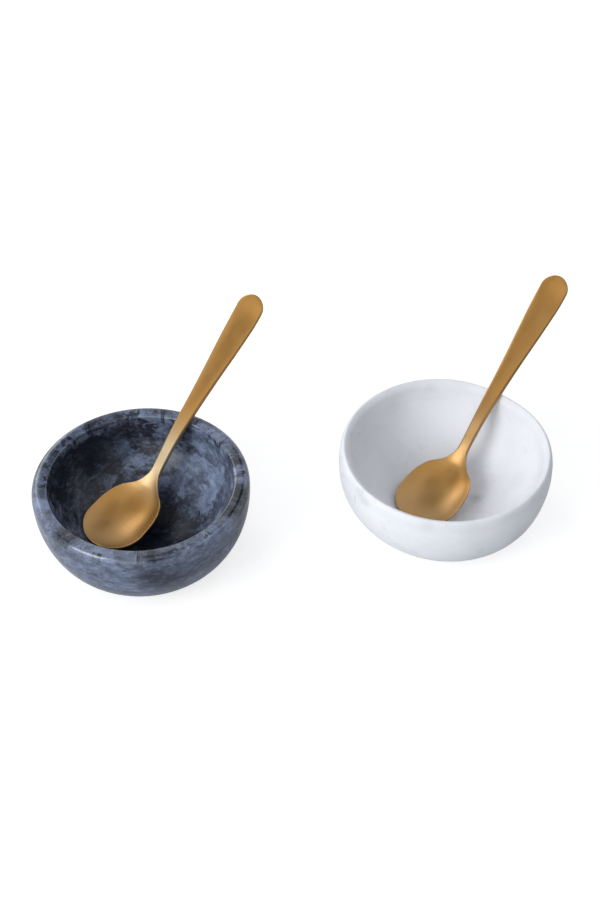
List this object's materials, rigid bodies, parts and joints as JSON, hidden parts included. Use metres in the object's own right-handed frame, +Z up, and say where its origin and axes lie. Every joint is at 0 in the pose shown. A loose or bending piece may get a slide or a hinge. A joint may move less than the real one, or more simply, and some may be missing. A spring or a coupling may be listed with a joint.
{
  "type": "salt cellar pair",
  "caption": "Pair of round stone salt cellars, one dark grey-blue and one white, each an open pinch bowl with a small brass spoon resting over its rim.",
  "frame": {"origin": "centre of the dark bowl's flat foot, on the table", "axes": "+Z up from the table; +X from the dark bowl towards the white bowl's side, to the right as seen from the front; +Y to the back, the side that both spoon handles lean to"},
  "size_m": [0.2284, 0.1399, 0.0731],
  "materials": {
    "dark_marble": "honed and waxed, cloudy blue-grey with near-black patches",
    "white_marble": "honed, cool white with faint grey veins",
    "spoon_brass": "brushed satin"
  },
  "bodies": {
    "dark_bowl": {"dark_bowl": "dark_marble"},
    "dark_spoon": {"dark_spoon": "spoon_brass"},
    "white_bowl": {"white_bowl": "white_marble"},
    "white_spoon": {"white_spoon": "spoon_brass"}
  },
  "joints": [
    {"name": "dark_spoon_lift", "type": "slide", "parent": "dark_bowl", "child": "dark_spoon", "axis": [0, 0, 1], "range_m": [0, 0.05]},
    {"name": "white_bowl_lift", "type": "slide", "parent": "dark_bowl", "child": "white_bowl", "axis": [0, 0, 1], "range_m": [0, 0.06]},
    {"name": "white_spoon_lift", "type": "slide", "parent": "white_bowl", "child": "white_spoon", "axis": [0, 0, 1], "range_m": [0, 0.05]}
  ]
}
